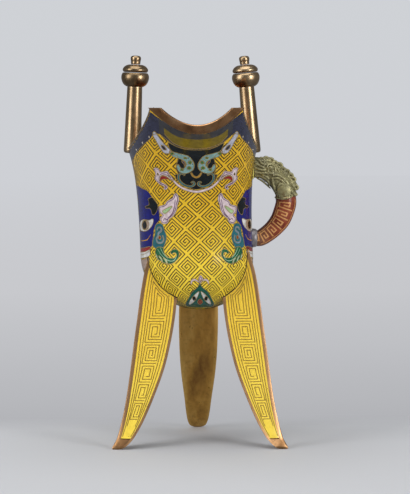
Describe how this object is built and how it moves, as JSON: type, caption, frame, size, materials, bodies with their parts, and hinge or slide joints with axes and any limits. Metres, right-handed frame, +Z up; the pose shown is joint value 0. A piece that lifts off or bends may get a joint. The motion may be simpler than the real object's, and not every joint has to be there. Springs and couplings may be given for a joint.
{
  "type": "cloisonne jue",
  "caption": "Tripod wine vessel with spout, tail, capped posts and an animal-head handle, in cloisonne enamel on gilt copper.",
  "frame": {"origin": "on the table, under the middle of the bounding box", "axes": "+Z up; -Y towards the spout; +X towards the handle"},
  "size_m": [0.1146, 0.1704, 0.2337],
  "materials": {
    "copper": "bare gilt copper, dulled inside the bowl",
    "gilt_copper": "worn gilding on copper, satin",
    "body_enamel": "polished cloisonne enamel, opaque",
    "leg_enamel": "polished cloisonne enamel, opaque",
    "handle_enamel": "polished cloisonne enamel, opaque",
    "patinated_bronze": "cast metal with green patina"
  },
  "bodies": {
    "root": {"body_shell": "copper", "body_enamel": "body_enamel", "rim_band": "gilt_copper", "spout_lip": "gilt_copper", "leg_left": "gilt_copper", "leg_left_enamel_a": "leg_enamel", "leg_left_enamel_b": "leg_enamel", "leg_right": "gilt_copper", "leg_right_enamel_a": "leg_enamel", "leg_right_enamel_b": "leg_enamel", "leg_rear": "gilt_copper", "leg_rear_enamel_a": "leg_enamel", "leg_rear_enamel_b": "leg_enamel", "post_left_stem": "gilt_copper", "post_left_bead_lower": "gilt_copper", "post_left_bead_upper": "gilt_copper", "post_left_finial": "gilt_copper", "post_right_stem": "gilt_copper", "post_right_bead_lower": "gilt_copper", "post_right_bead_upper": "gilt_copper", "post_right_finial": "gilt_copper", "handle_head": "patinated_bronze", "handle_tube": "handle_enamel", "handle_collar": "gilt_copper"}
  },
  "joints": []
}
